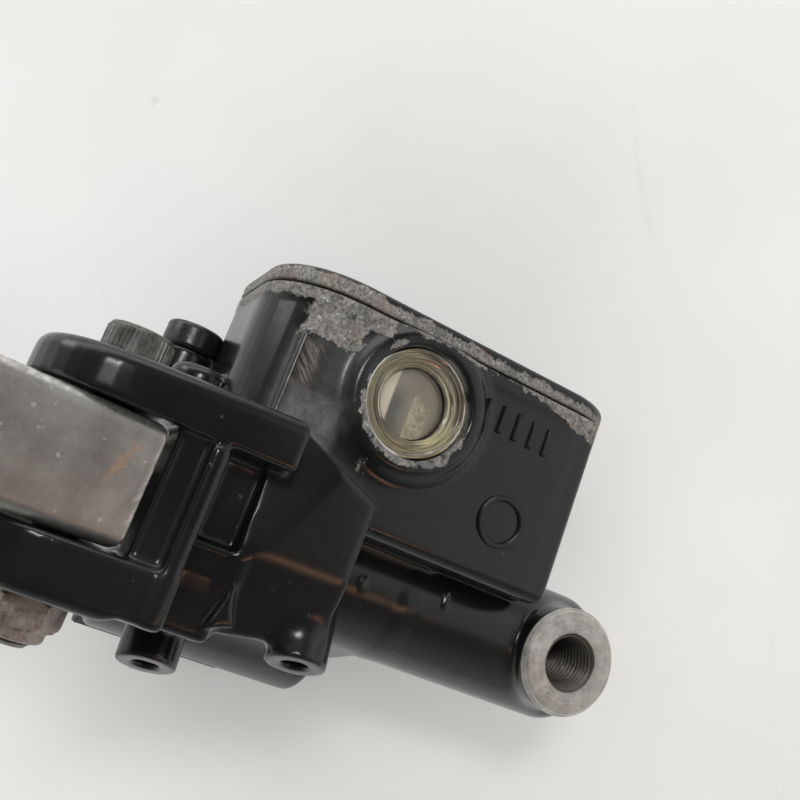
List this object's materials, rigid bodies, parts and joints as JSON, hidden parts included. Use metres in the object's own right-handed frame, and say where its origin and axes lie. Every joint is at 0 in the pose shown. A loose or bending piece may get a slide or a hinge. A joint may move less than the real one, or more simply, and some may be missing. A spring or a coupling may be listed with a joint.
{
  "type": "brake master cylinder",
  "caption": "Front brake master cylinder for a round handlebar, with built-in fluid reservoir, round sight glass, hinged brake lever and bolted bar clamp.",
  "frame": {"origin": "centre of the handlebar passage, midway along the clamp", "axes": "+X along the handlebar and the bore, towards the hose outlet; +Z towards the reservoir cover; -Y towards the sight glass, the hose seat and the front of the vehicle"},
  "size_m": [0.27, 0.0985, 0.069],
  "materials": {
    "body_paint": "gloss black paint over die-cast aluminium, chipped to pitted bare metal round the rim and the sight glass",
    "cover_paint": "satin black paint over die-cast aluminium, worn along the joint",
    "bare_aluminium": "brushed",
    "zinc_steel": "satin",
    "dull_steel": "tarnished",
    "black_oxide": "worn black oxide",
    "bush_bronze": "satin",
    "rubber": "matte",
    "nylon": "satin",
    "sight_lens": "gloss, yellowed",
    "reflector": "polished"
  },
  "bodies": {
    "housing": {"body_casting": "body_paint", "reservoir_cover": "cover_paint", "reservoir_diaphragm": "rubber", "diaphragm_plate": "nylon", "cover_screw_1": "zinc_steel", "cover_screw_2": "zinc_steel", "splash_plate": "zinc_steel", "sight_lens": "sight_lens", "sight_seal": "rubber", "sight_reflector": "reflector", "return_spring": "zinc_steel", "stop_washer": "zinc_steel", "piston_circlip": "dull_steel", "dust_boot": "rubber", "pivot_bolt": "black_oxide", "pivot_nut": "dull_steel", "clamp_cap": "body_paint", "clamp_bolt_1": "zinc_steel", "clamp_bolt_2": "zinc_steel", "mirror_plug": "nylon"},
    "lever": {"brake_lever": "bare_aluminium", "lever_bush": "bush_bronze"},
    "piston": {"piston": "bare_aluminium", "secondary_cup": "rubber", "primary_cup": "rubber", "spring_seat": "zinc_steel"}
  },
  "joints": [
    {"name": "lever_pivot", "type": "hinge", "parent": "housing", "child": "lever", "pos_m": [-0.0315, -0.0565, 0.0095], "axis": [0, 0, -1], "range_deg": [0, 20], "stiffness_Nm_per_rad": 2, "springref_deg": -5.73},
    {"name": "piston_slide", "type": "slide", "parent": "housing", "child": "piston", "axis": [1, 0, 0], "range_m": [0, 0.0065], "deforming": ["return_spring", "dust_boot"]}
  ],
  "couplings": [
    {"joint": "piston_slide", "follows": "lever_pivot", "m_per_rad": 0.018}
  ]
}
